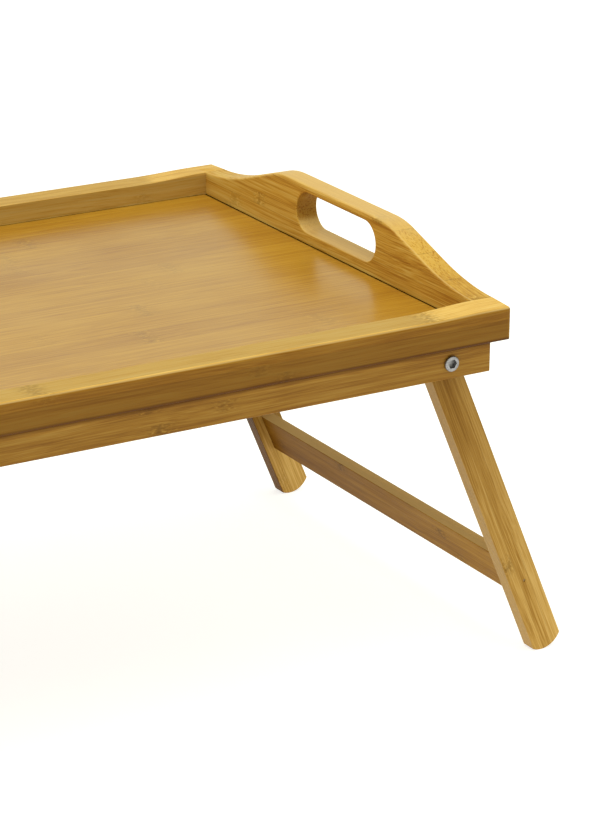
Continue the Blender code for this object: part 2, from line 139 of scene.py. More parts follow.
def ring_mesh(rings):
    """Quads from each ring of points to the next, and a cap on the first and the last."""
    bm = bmesh.new()
    made = [[bm.verts.new(point) for point in ring] for ring in rings]
    for first, second in zip(made, made[1:]):
        for i in range(len(first)):
            bm.faces.new((first[i - 1], first[i], second[i], second[i - 1]))
    bm.faces.new(made[0])
    bm.faces.new(made[-1])
    return bm


def box_mesh(low, high):
    (x0, y0, z0), (x1, y1, z1) = low, high
    corners = ((x0, y0), (x1, y0), (x1, y1), (x0, y1))
    return ring_mesh([[(x, y, z) for x, y in corners] for z in (z0, z1)])


def loft_mesh(outline, stations):
    """A solid on the Y axis from (place along Y, scale) pairs of one (x, z) outline."""
    return ring_mesh([[(x * scale, y, z * scale) for x, z in outline] for y, scale in stations])


def turned_mesh(stations, sides=64):
    """A turned solid on the Y axis, from (place along the axis, radius) pairs."""
    circle = [(math.cos(2 * math.pi * i / sides), math.sin(2 * math.pi * i / sides)) for i in range(sides)]
    return loft_mesh(circle, stations)


def rounded_corner(edge, radius, depth, steps=6):
    """(place, radius) pairs that round the outer edge of a head, from its face inwards."""
    for i in range(steps + 1):
        angle = math.pi / 2 * i / steps
        yield edge + depth * (1 - math.cos(angle)), radius - depth * (1 - math.sin(angle))


def hexagon(radius, corner=0.12):
    """A hexagon's (x, z) points, with each corner rounded over a share of its sides."""
    points = []
    for i in range(6):
        turns = (math.pi / 3 * k for k in (i - 1, i, i + 1))
        before, here, after = (Vector((math.cos(turn), math.sin(turn))) for turn in turns)
        for share in (0.0, 0.33, 0.67, 1.0):
            along = here.lerp(before, corner * (1 - share)).lerp(here.lerp(after, corner * share), share)
            points.append(tuple(along * radius))
    return points


def cross(arm, half_width):
    """A cross's (x, z) points."""
    quarter = [(arm, -half_width), (arm, half_width), (half_width, half_width)]
    points = []
    for _ in range(4):
        points += quarter
        quarter = [(-z, x) for x, z in quarter]
    return points


def new_object(name, bm, place=Matrix.Identity(4)):
    mesh = bpy.data.meshes.new(name)
    bmesh.ops.recalc_face_normals(bm, faces=bm.faces)
    bm.to_mesh(mesh)
    bm.free()
    made = bpy.data.objects.new(name, mesh)
    bpy.context.scene.collection.objects.link(made)
    made.matrix_world = place
    return made


def cut(target, bm, place=Matrix.Identity(4)):
    """Takes the shape bm, placed in the target's own frame, out of the target."""
    cutter = new_object(target.name + "_cutter", bm, target.matrix_world @ place)
    modifier = target.modifiers.new("cut", "BOOLEAN")
    modifier.solver = "EXACT"
    modifier.object = cutter


def soften(target, width, segments, weigh=None):
    """Rounds each edge by width times weigh(midpoint, direction), or every edge sharper than 60 degrees."""
    modifier = target.modifiers.new("rounding", "BEVEL")
    modifier.width = width
    modifier.segments = segments
    if not weigh:
        modifier.limit_method = "ANGLE"
        modifier.angle_limit = math.radians(60)
        return
    modifier.limit_method = "WEIGHT"
    mesh = target.data
    weight = mesh.attributes.new("bevel_weight_edge", "FLOAT", "EDGE")
    for edge in mesh.edges:
        first, second = (mesh.vertices[i].co for i in edge.vertices)
        weight.data[edge.index].value = float(weigh((first + second) / 2, second - first))


def settle(target):
    """Applies the modifiers, moves the mesh to its place in the world, and shades rounded faces smooth."""
    graph = bpy.context.evaluated_depsgraph_get()
    mesh = bpy.data.meshes.new_from_object(target.evaluated_get(graph))
    cutters = [modifier.object for modifier in target.modifiers if modifier.type == "BOOLEAN"]
    target.modifiers.clear()
    target.data = mesh
    for cutter in cutters:
        bpy.data.objects.remove(cutter)
    mesh.name = target.name
    mesh.transform(target.matrix_world)
    target.matrix_world = Matrix.Identity(4)
    mesh.shade_smooth()
    mesh.set_sharp_from_angle(angle=SHARP)
    target.modifiers.new("even shading", "WEIGHTED_NORMAL").keep_sharp = True


def finish_piece(target, body, slot, material, *nodes):
    """Puts a finished piece on its body, in place of its CAD nodes."""
    settle(target)
    target.data.materials.clear()
    target.data.materials.append(material)
    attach(target, body)
    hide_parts(*nodes)


# ---------------------------------------------------------------- node trees


class Graph:
    """Writes a node tree, one call for each node. A value is a number, a tuple or another node's output."""

    def __init__(self, tree):
        self.tree = tree

    def node(self, kind, output=0, inputs=(), **settings):
        made = self.tree.nodes.new(kind)
        for name, value in settings.items():
            setattr(made, name, value)
        for key, value in dict(inputs).items():
            self.put(made.inputs[key], value)
        return made.outputs[output]

    def put(self, socket, value):
        if isinstance(value, bpy.types.NodeSocket):
            self.tree.links.new(value, socket)
        else:
            socket.default_value = value

    def maths(self, operation, *values, clamp=False):
        return self.node("ShaderNodeMath", inputs=enumerate(values), operation=operation, use_clamp=clamp)

    def vector(self, x=0.0, y=0.0, z=0.0):
        return self.node("ShaderNodeCombineXYZ", inputs={"X": x, "Y": y, "Z": z})

    def mapping(self, vector, **seat):
        """The vector in the axes of a place."""
        return self.node("ShaderNodeMapping", inputs={"Vector": vector, **seat}, vector_type="TEXTURE")

    def split(self, vector):
        made = self.tree.nodes.new("ShaderNodeSeparateXYZ")
        self.put(made.inputs[0], vector)
        return made.outputs[0], made.outputs[1], made.outputs[2]

    def times(self, vector, factor):
        """The vector times a number, or times three numbers, one for each axis."""
        if isinstance(factor, tuple):
            return self.node("ShaderNodeVectorMath", inputs={0: vector, 1: factor}, operation="MULTIPLY")
        return self.node("ShaderNodeVectorMath", inputs={0: vector, "Scale": factor}, operation="SCALE")

    def in_sizes(self, x, y, z, sizes):
        """The point (x, y, z), with each coordinate counted in a size of its own."""
        return self.vector(*(self.maths("DIVIDE", value, size) for value, size in zip((x, y, z), sizes)))

    def noise(self, vector, detail=2.0, roughness=0.5):
        inputs = {"Vector": vector, "Scale": 1.0, "Detail": detail, "Roughness": roughness}
        return self.node("ShaderNodeTexNoise", inputs=inputs)

    def ramp(self, value, *stops, interpolation="LINEAR"):
        """A colour ramp from (place, colour) pairs."""
        made = self.tree.nodes.new("ShaderNodeValToRGB")
        made.color_ramp.interpolation = interpolation
        elements = made.color_ramp.elements
        for element, (place, colour) in zip((elements[0], elements[1]), (stops[0], stops[-1])):
            element.position = place
            element.color = (*colour, 1.0)
        for place, colour in stops[1:-1]:
            elements.new(place).color = (*colour, 1.0)
        self.put(made.inputs[0], value)
        return made.outputs[0]

    def remap(self, value, low, high, to_low=0.0, to_high=1.0, smooth=False):
        inputs = {"Value": value, "From Min": low, "From Max": high, "To Min": to_low, "To Max": to_high}
        kind = "SMOOTHSTEP" if smooth else "LINEAR"
        return self.node("ShaderNodeMapRange", inputs=inputs, interpolation_type=kind)

    def mix(self, factor, first, second, blend="MIX"):
        inputs = {0: factor, 6: first, 7: second}
        return self.node("ShaderNodeMix", 2, inputs, data_type="RGBA", blend_type=blend)

    def bell(self, value, width):
        """1 at 0, falling to nothing at a few widths either side."""
        share = self.maths("DIVIDE", value, width)
        return self.maths("EXPONENT", self.maths("MULTIPLY", self.maths("MULTIPLY", share, share), -1.0))


def new_material(name):
    """A material's graph and its Principled node."""
    made = bpy.data.materials.new(name)
    made.use_nodes = True
    shader = made.node_tree.nodes["Principled BSDF"]
    return made, Graph(made.node_tree), shader


def connect(graph, shader, **sockets):
    """Sets the shader's inputs, named with _ for a space."""
    for name, value in sockets.items():
        graph.put(shader.inputs[name.replace("_", " ")], value)


def bump(graph, height, distance, strength=1.0):
    return graph.node("ShaderNodeBump", inputs={"Height": height, "Distance": distance, "Strength": strength})


# ---------------------------------------------------------------- bamboo


GRAIN_OUTPUTS = ("Tone", "Fibre", "Knuckle", "Joint", "Height")


def grain_group():
    """The laminated bamboo pattern, in millimetres: grain along X, strips side by side along Y and layers
    on one another along Z. Every strip has its own tone, fibre bundles, and a knuckle every 20 cm or so."""
    tree = bpy.data.node_groups.new("bamboo_grain", "ShaderNodeTree")
    tree.interface.new_socket("Point", in_out="INPUT", socket_type="NodeSocketVector")
    for name in ("Strip", "Layer", "Variety", "Seed"):
        tree.interface.new_socket(name, in_out="INPUT", socket_type="NodeSocketFloat")
    for name in GRAIN_OUTPUTS:
        tree.interface.new_socket(name, in_out="OUTPUT", socket_type="NodeSocketFloat")
    g = Graph(tree)
    inputs = tree.nodes.new("NodeGroupInput").outputs
    x, y, z = g.split(inputs["Point"])
    seed = inputs["Seed"]
    x = g.maths("MULTIPLY_ADD", seed, 613.0, x)

    # Which strip, and where in it
    across = g.maths("DIVIDE", y, inputs["Strip"])
    up = g.maths("DIVIDE", z, inputs["Layer"])
    index = g.vector(g.maths("FLOOR", across), g.maths("FLOOR", up), seed)
    chance = g.node("ShaderNodeTexWhiteNoise", "Color", {"Vector": index}, noise_dimensions="3D")
    own_tone, own_place, own_mark = g.split(chance)
    from_edge = [
        g.maths("MULTIPLY", g.maths("PINGPONG", share, 0.5), size)
        for share, size in ((across, inputs["Strip"]), (up, inputs["Layer"]))
    ]
    wander = g.noise(g.vector(g.maths("DIVIDE", x, 35.0), y, z), 1.0)
    joint_width = g.remap(wander, 0.35, 0.7, 0.05, 0.24)
    in_joint_widths = g.maths("DIVIDE", g.maths("MINIMUM", *from_edge), joint_width)
    joint = g.maths("SUBTRACT", 1.0, in_joint_widths, clamp=True)
    joint = g.maths("MULTIPLY", joint, g.remap(own_tone, 0.1, 0.7, 0.35, 1.0))

    # Knuckles: uneven bands across the strip, with tangled fibres beside them
    spacing = g.remap(own_mark, 0.0, 1.0, 190.0, 290.0)
    turns = g.maths("ADD", g.maths("DIVIDE", x, spacing), own_place)
    ragged = g.noise(g.in_sizes(x, y, z, (16.0, 2.6, 2.6)), 3.0)
    off_node = g.maths("MULTIPLY", g.maths("SUBTRACT", g.maths("FRACT", turns), 0.5), spacing)
    off_node = g.maths("MULTIPLY_ADD", g.maths("SUBTRACT", ragged, 0.5), 9.0, off_node)
    near_node = g.bell(off_node, 5.5)
    node_line = g.bell(off_node, 1.3)
    squiggle = g.noise(g.in_sizes(x, y, z, (2.6, 1.1, 1.1)), 2.0)
    seen = g.remap(own_place, 0.1, 0.75, 0.25, 1.0)
    knuckle = g.maths("MULTIPLY", near_node, g.remap(squiggle, 0.4, 0.62))
    knuckle = g.maths("MULTIPLY", g.maths("MAXIMUM", knuckle, g.maths("MULTIPLY", node_line, 0.75)), seen)

    # Fibres, which drift a little and are pushed about at the knuckles
    drift = g.noise(g.in_sizes(x, y, z, (150.0, 26.0, 26.0)), 1.0)
    push = g.maths("MULTIPLY_ADD", g.maths("SUBTRACT", squiggle, 0.5), g.maths("MULTIPLY", near_node, 2.2),
                   g.maths("MULTIPLY", g.maths("SUBTRACT", drift, 0.5), 7.0))
    fibre_y, fibre_z = g.maths("ADD", y, push), g.maths("ADD", z, push)

    def along_fibres(length, width, detail=2.0):
        return g.noise(g.in_sizes(x, fibre_y, fibre_z, (length, width, width)), detail, 0.6)

    cells = g.in_sizes(x, fibre_y, fibre_z, (24.0, 0.8, 0.8))
    spots = g.node("ShaderNodeTexVoronoi", "Distance", {"Vector": cells, "Scale": 1.0}, feature="F1")
    skin_side = g.maths("ABSOLUTE", g.maths("SUBTRACT", g.maths("FRACT", up), g.maths("ROUND", own_mark)))
    bundles = g.remap(spots, 0.16, 0.44, 1.0, 0.0, smooth=True)
    bundles = g.maths("MULTIPLY", bundles, g.remap(skin_side, 0.0, 1.0, 0.35, 1.0))
    streaks = along_fibres(80.0, 1.3, 3.0)
    fine = along_fibres(26.0, 0.45)

    tone = g.maths("MULTIPLY_ADD", g.maths("SUBTRACT", own_tone, 0.5), inputs["Variety"], 0.5)
    tone = g.maths("MULTIPLY_ADD", g.maths("SUBTRACT", streaks, 0.5), 1.6, tone)
    tone = g.maths("MULTIPLY_ADD", g.maths("SUBTRACT", fine, 0.5), 1.5, tone)
    fleck = g.maths("MULTIPLY", near_node, g.remap(squiggle, 0.44, 0.3))
    tone = g.maths("MULTIPLY_ADD", fleck, 0.5, tone)
    tone = g.maths("MULTIPLY_ADD", g.maths("SUBTRACT", skin_side, 0.5), -0.22, tone)
    tone = g.maths("MULTIPLY_ADD", g.maths("SUBTRACT", drift, 0.5), 0.5, tone)
    fibre = g.maths("MULTIPLY_ADD", fine, 0.5, g.maths("MULTIPLY", bundles, 0.6), clamp=True)
    height = g.maths("MULTIPLY_ADD", fine, 0.5, g.maths("MULTIPLY", bundles, -0.45))
    height = g.maths("MULTIPLY_ADD", joint, -1.0, g.maths("MULTIPLY_ADD", knuckle, -0.5, height))

    outputs = tree.nodes.new("NodeGroupOutput").inputs
    for name, value in zip(GRAIN_OUTPUTS, (tone, fibre, knuckle, joint, height)):
        tree.links.new(value, outputs[name])
    return tree


# Deep, middle and pale tones of each wood
AMBER = ((0.540, 0.280, 0.050), (0.770, 0.470, 0.120), (0.810, 0.560, 0.200))
CARAMEL = ((0.400, 0.172, 0.020), (0.630, 0.345, 0.055), (0.740, 0.495, 0.135))
GOLDEN = ((0.340, 0.143, 0.010), (0.445, 0.213, 0.016), (0.540, 0.285, 0.028))
UMBER = ((0.270, 0.113, 0.014), (0.430, 0.210, 0.029), (0.540, 0.305, 0.060))
RUSSET = ((0.240, 0.105, 0.006), (0.350, 0.165, 0.012), (0.430, 0.225, 0.026))
HONEY = ((0.350, 0.175, 0.028), (0.535, 0.310, 0.076), (0.680, 0.435, 0.145))
PAINTED_HIGHLIGHT = (0.800, 0.560, 0.240)  # painted highlight on rounded edges that look up
PAINTED_LIGHT = (0.700, 0.460, 0.190)  # painted light: the paler colour given to faces that catch light
END_GRAIN_AND_SHADE = (0.400, 0.300, 0.120)  # what a darker face keeps of its colour: the end grain's own darker tone, and painted shade
CLOUD_SIZE = 70.0  # mm, the size of the uneven patches in tone and gloss


def bamboo(name, seed, place, order, layer, strip=60.0, tones=CARAMEL, coat=0.15, polish=0.2, variety=0.45,
           shaded_side=None, shade_along=None, crown=None, sides=0.0, knots=0.62):
    """Laminated bamboo. place holds the piece's own axes, at the corner that the layers are counted from,
    and order names those of the grain, the strips' width and the layers. coat is how much lacquer there is
    and polish its roughness. shaded_side darkens one side, named by its axis and sign, as painted shade.
    shade_along darkens along an axis as painted shade, from one place in mm to another, by a share at each.
    crown is how much paler the faces that look up are, as painted light, and how far that reaches in mm from
    the piece's middle. sides is how much paler the faces that look along the layers' axis are, as painted
    light, and knots is how dark the knuckles are."""
    made, g, shader = new_material(name)
    turn = tuple(place.to_euler())
    seat = {"Location": tuple(place.translation), "Rotation": turn, "Scale": (MM, MM, MM)}
    local = g.mapping(g.node("ShaderNodeTexCoord", "Object"), **seat)
    axes = dict(zip("xyz", g.split(local)))
    point = g.vector(*(axes[a] for a in order))
    group = made.node_tree.nodes.new("ShaderNodeGroup")
    group.node_tree = bpy.data.node_groups.get("bamboo_grain") or grain_group()
    settings = {"Point": point, "Strip": strip, "Layer": layer, "Variety": variety, "Seed": float(seed)}
    for key, value in settings.items():
        g.put(group.inputs[key], value)
    tone, fibre, knuckle, joint, height = group.outputs

    normals = g.mapping(g.node("ShaderNodeTexCoord", "Normal"), Rotation=turn)
    normals = dict(zip("xyz", g.split(normals)))
    end_grain = g.maths("ABSOLUTE", normals[order[0]])
    cloud = g.noise(g.times(point, 1 / CLOUD_SIZE), 2.0)
    tone = g.maths("MULTIPLY_ADD", g.maths("SUBTRACT", cloud, 0.5), 0.5, tone)
    deep, middle, pale = tones
    dark = tuple(c * 0.42 for c in deep)
    colour = g.ramp(tone, (0.05, deep), (0.5, middle), (0.95, pale))
    colour = g.mix(g.maths("MULTIPLY", fibre, 0.42), colour, (*deep, 1.0))
    dots = g.ramp(fibre, (0.15, pale), (0.32, middle), (0.6, deep))
    colour = g.mix(g.remap(end_grain, 0.08, 0.3, 0.0, 0.7), colour, dots)
    colour = g.mix(g.remap(end_grain, 0.4, 0.95, 0.0, 0.8), colour, (*END_GRAIN_AND_SHADE, 1.0), "MULTIPLY")
    colour = g.mix(g.maths("MULTIPLY", knuckle, knots), colour, (*dark, 1.0))
    colour = g.mix(g.maths("MULTIPLY", joint, 0.55), colour, (*dark, 1.0))
    # Painted shade: the side picked by its normal is darkened
    if shaded_side:
        share = g.remap(g.maths("MULTIPLY", normals[shaded_side[0]], shaded_side[1]), 0.3, 0.7, smooth=True)
        colour = g.mix(share, colour, (*END_GRAIN_AND_SHADE, 1.0), "MULTIPLY")
    # Painted shade: darker along an axis, between two places
    if shade_along:
        colour = g.mix(g.remap(axes[shade_along[0]], *shade_along[1:]), colour, (*END_GRAIN_AND_SHADE, 1.0), "MULTIPLY")
    # Painted light: faces that look along the layers' axis are made paler
    if sides:
        share = g.remap(g.maths("ABSOLUTE", normals[order[2]]), 0.7, 0.95, 0.0, sides, smooth=True)
        colour = g.mix(share, colour, (*PAINTED_LIGHT, 1.0))
    # Painted light: faces that look up are made paler, near the piece's middle
    if crown:
        level = g.remap(normals["z"], 0.75, 0.95, 0.0, crown[0], smooth=True)
        reach = g.remap(g.maths("ABSOLUTE", axes[order[0]]), crown[1], crown[1] + 25.0, 1.0, 0.0)
        colour = g.mix(g.maths("MULTIPLY", level, reach), colour, (*PAINTED_LIGHT, 1.0))

    # Painted shade on the faces that look down, and a painted highlight on the rounded edges that look up
    upright = g.split(g.node("ShaderNodeTexCoord", "Normal"))[2]
    colour = g.mix(g.remap(upright, -0.5, -0.9, 0.0, 0.85), colour, (*END_GRAIN_AND_SHADE, 1.0), "MULTIPLY")
    sizes = [g.maths("ABSOLUTE", value) for value in normals.values()]
    squareness = g.maths("MAXIMUM", g.maths("MAXIMUM", sizes[0], sizes[1]), sizes[2])
    # Painted highlight: rounded edges that look up are made paler
    painted_highlight = g.maths("MULTIPLY", g.remap(squareness, 0.93, 0.78), g.remap(upright, 0.35, 0.75, 0.0, 0.45))
    colour = g.mix(painted_highlight, colour, (*PAINTED_HIGHLIGHT, 1.0))

    rough = g.maths("MULTIPLY_ADD", fibre, 0.10, g.remap(cloud, 0.3, 0.7, 0.34, 0.46))
    rough = g.maths("MULTIPLY_ADD", end_grain, 0.12, rough)
    uneven_coat = g.remap(cloud, 0.3, 0.7, 0.9 * coat, 1.1 * coat)
    coat_share = g.maths("MULTIPLY_ADD", end_grain, -0.6 * coat, uneven_coat)
    connect(g, shader, Base_Color=colour, Roughness=rough, Specular_IOR_Level=0.03, IOR=1.5,
            Normal=bump(g, height, 0.06 * MM), Coat_Weight=coat_share, Coat_Roughness=polish, Coat_IOR=1.5)
    return made


# ---------------------------------------------------------------- other materials


def metal(name, colour, mottle, roughness):
    """Plated steel: faint tool marks round the axis, blotches in the plating and a few scuffs."""
    made, g, shader = new_material(name)
    place = g.node("ShaderNodeTexCoord", "Object")
    point = g.times(place, 1 / MM)
    blotch = g.noise(point, 3.0)
    rub = g.noise(g.times(point, (7.0, 1.2, 7.0)), 2.0)
    shade = g.ramp(blotch, (0.3, mottle), (0.65, colour))
    rough = g.maths("MULTIPLY_ADD", rub, 0.18, g.remap(blotch, 0.3, 0.7, roughness, roughness + 0.1))
    connect(g, shader, Base_Color=shade, Metallic=1.0, Roughness=rough,
            Normal=bump(g, g.maths("ADD", rub, blotch), 0.01 * MM))
    return made


def plain(name, colour, speck, roughness, grain=(1.0, 1.0, 1.0), subsurface=0.0):
    """A plain body colour with fine specks stretched by grain, for nylon, beech and filler."""
    made, g, shader = new_material(name)
    place = g.node("ShaderNodeTexCoord", "Object")
    point = g.times(place, tuple(v / MM for v in grain))
    cloud = g.noise(point, 2.0)
    fleck = g.noise(g.times(point, 4.0), 3.0)
    darker = tuple(c * 0.86 for c in colour)
    body = g.ramp(cloud, (0.3, darker), (0.7, colour))
    shade = g.mix(g.remap(fleck, 0.5, 0.75), body, (*speck, 1.0))
    connect(g, shader, Base_Color=shade, Roughness=g.remap(fleck, 0.3, 0.7, roughness, roughness + 0.12),
            Normal=bump(g, fleck, 0.02 * MM), Subsurface_Weight=subsurface, Subsurface_Scale=1.0 * MM)
    return made


# ---------------------------------------------------------------- the tray


def rise(x, share):
    """How far a rail's top stands above its middle at x, from its inner edge, share 0, to its outer, 1."""
    along = min(max((abs(x) - RISE_START_X) / (PANEL_INNER_X - RISE_START_X), 0.0), 1.0)
    full = INNER_RISE + (OUTER_RISE - INNER_RISE) * share
    return full * along * along * (3 - 2 * along)


def build_rail(side_name, side):
    """A long side of the tray, rebated underneath for the board and drilled for dowels and screws."""
    steps = 12
    reach = PANEL_INNER_X - RISE_START_X
    half = [RISE_START_X + reach * i / steps for i in range(steps + 1)] + [HALF_LENGTH]
    inner, outer = side * RAIL_INNER_Y, side * HALF_DEPTH
    rings = []
    for x in [-x for x in reversed(half)] + half:
        tops = [(x, inner, RAIL_TOP + rise(x, 0)), (x, outer, RAIL_TOP + rise(x, 1))]
        rings.append([(x, inner, UNDERSIDE), *tops, (x, outer, UNDERSIDE)])
    rail = new_object(side_name + "_rail_bamboo", ring_mesh(rings))

    def weigh(point, along):
        at_end = abs(point.x) > HALF_LENGTH - SEAM
        at_top = point.z > RAIL_TOP - SEAM
        outside = abs(point.y) > HALF_DEPTH - SEAM
        level = abs(along.z) < RAIL_HEIGHT / 2
        across = abs(along.y) > RAIL_HEIGHT / 2
        if outside and at_end and not level:
            return 1.0
        if outside and at_top:
            return TOP_ARRIS / CORNER_ARRIS
        if at_end and at_top and across:
            return PANEL_ARRIS / CORNER_ARRIS
        lengthways = not across and level
        if lengthways and at_top:
            return BAR_ARRIS / CORNER_ARRIS * (abs(point.x) < PANEL_INNER_X)
        if lengthways and outside:
            return LOWER_ARRIS / CORNER_ARRIS
        return BAR_ARRIS / CORNER_ARRIS * (at_end or lengthways)

    soften(rail, CORNER_ARRIS, 8, weigh)
    near, far = sorted((side * (RAIL_INNER_Y - OVERRUN), side * (TONGUE_Y + SEAM)))
    groove = box_mesh((-TONGUE_X - SEAM, near, UNDERSIDE - OVERRUN), (TONGUE_X + SEAM, far, BOARD_TOP + SEAM))
    cut(rail, groove)
    for dowel in dowels_at(side_name):
        cut(rail, dowel_mesh(dowel, SEAM))
    for screw in apron_screws_at(side_name):
        low_end, high_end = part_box(screw)
        centre = (low_end + high_end) / 2
        radius = APRON_SCREW_RADIUS + THREAD_DEPTH + SEAM
        cut(rail, hole_mesh((centre.x, centre.y), radius, UNDERSIDE - OVERRUN, high_end.z + SEAM))
    seed = 3 if side < 0 else 8
    corner = Matrix.Translation(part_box(side_name + "_rail")[0])
    layer = RAIL_HEIGHT / MM / 3
    # Painted shade: the outer face is darkened, and the bottom 2 mm darker towards the underside
    wood = bamboo(rail.name, seed, corner, "xyz", layer, tones=AMBER, variety=0.25,
                  shaded_side=("y", side), shade_along=("z", 1.9, 0.7, 0.0, 1.0))
    finish_piece(rail, "tray", "bamboo_frame", wood, side_name + "_rail")


def hole_mesh(centre, radius, low, high):
    """An upright round hole's cutter."""
    circle = list(arc(centre, radius, *TURN_OF_32))
    return ring_mesh([[(x, y, z) for x, y in circle] for z in (low, high)])


def dowels_at(side_name):
    return [f"corner_dowel_{end}_{side_name}_{number}" for end in ENDS for number in (1, 2)]


def apron_screws_at(side_name):
    return [f"{side_name}_apron_screw_{number}" for number in (1, 2, 3)]


def dowel_mesh(node, allowance=0.0):
    """A dowel on its CAD node's place, with chamfered ends and, at no allowance, pressed flutes."""
    low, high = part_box(node)
    middle = (low + high) / 2
    radius = (high.z - low.z) / 2 + allowance
    half = (high.y - low.y) / 2 + allowance
    chamfer = 0.0 if allowance else 0.8 * MM
    flutes, per_flute = 16, 4
    outline = []
    for i in range(flutes * per_flute):
        depth = 0.0 if allowance else 0.1 * MM * (i % per_flute == 0)
        angle = 2 * math.pi * i / (flutes * per_flute)
        outline.append(((radius - depth) * math.cos(angle), (radius - depth) * math.sin(angle)))
    tip = 1 - chamfer / 2 / radius
    stations = [(-half, tip), (-half + chamfer, 1), (half - chamfer, 1), (half, tip)]
    if allowance:
        stations = [(-half, 1), (half, 1)]
    bm = loft_mesh(outline, stations)
    bmesh.ops.translate(bm, verts=bm.verts, vec=middle)
    return bm


def panel_outline():
    """(y, z) round a handle panel, from the rail at the front, over the crest, to the rail at the back."""
    half = list(
        arc((CREST_HALF, CREST_TOP - SHOULDER_RADIUS), SHOULDER_RADIUS, math.pi / 2, math.pi / 2 - SLOPE, 12)
    )
    foot_y = half[-1][0] + SLOPE_LENGTH * math.cos(SLOPE)
    foot_z = half[-1][1] - SLOPE_LENGTH * math.sin(SLOPE)
    centre = (foot_y + SWEEP_RADIUS * math.sin(SLOPE), foot_z + SWEEP_RADIUS * math.cos(SLOPE))
    end_y = RAIL_INNER_Y - SEAM
    end_angle = math.acos((end_y - centre[0]) / SWEEP_RADIUS)
    half.extend(arc(centre, SWEEP_RADIUS, -math.pi / 2 - SLOPE, -end_angle, 14))
    half.append((end_y, UNDERSIDE))
    return [(-y, z) for y, z in reversed(half)] + half


def slot_mesh(thickness):
    """The hand slot, running through the panel, with its mouth rounded on both faces."""
    half_depth = thickness / 2
    stations = [(half_depth + OVERRUN, SLOT_ARRIS)]
    steps = 6
    for i in range(steps + 1):
        angle = math.pi / 2 * (steps - i) / steps
        stations.append((half_depth - SLOT_ARRIS * (1 - math.sin(angle)), SLOT_ARRIS * (1 - math.cos(angle))))
    stations += [(-x, growth) for x, growth in reversed(stations)]
    radius = SLOT_HEIGHT / 2
    reach = SLOT_LENGTH / 2 - radius
    rings = []
    for x, growth in stations:
        ring = list(arc((reach, 0), radius + growth, -math.pi / 2, math.pi / 2, 24))
        ring += arc((-reach, 0), radius + growth, math.pi / 2, 3 * math.pi / 2, 24)
        rings.append([(x, y, z) for y, z in ring])
    return ring_mesh(rings)


def build_handle_panel(end_name, end):
    node = "handle_panel_" + end_name
    low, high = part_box(node)
    middle_x = (low.x + high.x) / 2
    rings = [[(x, y, z) for y, z in panel_outline()] for x in (low.x, high.x)]
    panel = new_object(node + "_bamboo", ring_mesh(rings))

    def along_the_top(point, along):
        return abs(along.x) < MM and abs(along.z) < abs(along.y) and point.z > RAIL_TOP - MM

    soften(panel, PANEL_ARRIS, 8, along_the_top)
    slot_place = Matrix.Translation((middle_x, SLOT_CENTRE_Y, RAIL_TOP + SLOT_CENTRE_Z))
    cut(panel, slot_mesh(high.x - low.x), slot_place)
    near, far = sorted((end * (PANEL_INNER_X - OVERRUN), end * (TONGUE_X + SEAM)))
    groove = box_mesh((near, -HALF_DEPTH, UNDERSIDE - OVERRUN), (far, HALF_DEPTH, BOARD_TOP + SEAM))
    cut(panel, groove)
    for side_name in SIDES:
        for dowel in dowels_at(side_name):
            if end_name in dowel:
                cut(panel, dowel_mesh(dowel, SEAM))
    seed = 14 if end > 0 else 21
    foot = Matrix.Translation((middle_x, 0, UNDERSIDE))
    # Painted shade: a little darker towards the bottom, where the panel meets the board and the rails.
    # Painted light: the faces that look up near the crest are paler
    lower = ("z", 30.0, 16.0, 0.0, 0.12)
    wood = bamboo(panel.name, seed, foot, "yxz", 6.9, variety=0.15, shade_along=lower, crown=(0.7, 50.0))
    finish_piece(panel, "tray", "bamboo_frame", wood, node)


def build_board():
    """The floor of the tray: a board whose edges step down to a tongue that lies in the rebates."""
    tongue = (TONGUE_X, TONGUE_Y)
    top = (PANEL_INNER_X - BOARD_END_GAP, RAIL_INNER_Y - BOARD_SIDE_GAP)
    step = BOARD_TOP - BOARD_STEP
    rings = []
    for z, (x, y) in ((UNDERSIDE, tongue), (step, tongue), (step, top), (BOARD_TOP, top)):
        rings.append([(-x, -y, z), (x, -y, z), (x, y, z), (-x, y, z)])
    board = new_object("tray_board_bamboo", ring_mesh(rings))
    soften(board, BOARD_ARRIS, 2, lambda point, along: point.z > BOARD_TOP - SEAM)
    corner = Matrix.Translation(board_low)
    wood = bamboo(board.name, 5, corner, "xyz", 5.2, 18.6, GOLDEN, coat=0.95, polish=0.26, variety=0.12,
                  knots=0.3)
    finish_piece(board, "tray", "bamboo_board", wood, "tray_board")


